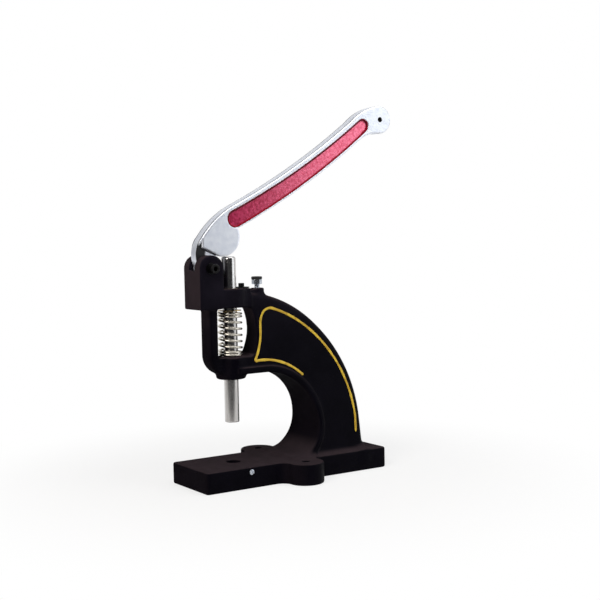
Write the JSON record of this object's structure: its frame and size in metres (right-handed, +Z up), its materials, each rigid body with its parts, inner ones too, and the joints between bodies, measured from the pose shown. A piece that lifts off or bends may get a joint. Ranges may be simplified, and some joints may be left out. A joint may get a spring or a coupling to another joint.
{
  "type": "snap button press",
  "caption": "Hand press for snaps and rivets: cast C-frame on a lugged base, handle lever on a clevis pivot, spring-returned ram over a die socket.",
  "frame": {"origin": "on the axis of the ram and the die socket, at the underside of the base", "axes": "+Z up along the ram, +X from the ram to the rear, where the arm and the handle lie, Y across the base along the lever's pivot"},
  "size_m": [0.274, 0.14, 0.4165],
  "materials": {
    "cast_paint": "black semi-gloss paint on cast iron",
    "lever_metal": "smooth cast aluminium, lightly polished",
    "enamel": "red enamel in a recess",
    "black_steel": "black oxide steel",
    "ram_steel": "polished steel",
    "spring_steel": "bright nickel-plated spring wire",
    "pin_steel": "ground steel",
    "zinc_steel": "bright zinc plate",
    "brass_washer": "satin",
    "bronze": "satin bearing bronze",
    "pad_rubber": "matt black"
  },
  "bodies": {
    "frame": {"frame_casting": "cast_paint", "pivot_bolt": "black_steel", "pivot_washers": "black_steel", "pivot_nut": "black_steel", "upper_guide_bush": "bronze", "lower_guide_bush": "bronze", "ram_keeper_plate": "black_steel", "keeper_screw": "black_steel", "ram_spring": "spring_steel"},
    "lever_arm": {"lever": "lever_metal", "lever_bush": "bronze", "lever_panel_near": "enamel", "lever_panel_far": "enamel"},
    "ram_bar": {"ram": "ram_steel", "spring_washer": "brass_washer", "ram_cross_pin": "pin_steel"},
    "stop": {"stop_bolt": "zinc_steel", "stop_pad": "pad_rubber"},
    "die_screw": {"die_clamp_screw": "zinc_steel"},
    "punch_screw": {"punch_clamp_screw": "black_steel"}
  },
  "joints": [
    {"name": "lever_swing", "type": "hinge", "parent": "frame", "child": "lever_arm", "pos_m": [-0.0315, 0, 0.236], "axis": [0, 1, 0], "range_deg": [0, 40], "stiffness_Nm_per_rad": 3, "springref_deg": -14.32},
    {"name": "ram_slide", "type": "slide", "parent": "frame", "child": "ram_bar", "axis": [0, 0, -1], "range_m": [0, 0.0216], "deforming": ["ram_spring"]},
    {"name": "stop_adjust", "type": "slide", "parent": "frame", "child": "stop", "axis": [0, 0, 1], "range_m": [-0.0035, 0.01]},
    {"name": "die_clamp", "type": "slide", "parent": "frame", "child": "die_screw", "axis": [0, -1, 0], "range_m": [0, 0.004]},
    {"name": "punch_clamp", "type": "slide", "parent": "ram_bar", "child": "punch_screw", "axis": [0, 1, 0], "range_m": [0, 0.002]}
  ],
  "couplings": [
    {"joint": "ram_slide", "follows": "lever_swing", "m_per_rad": 0.0308}
  ]
}
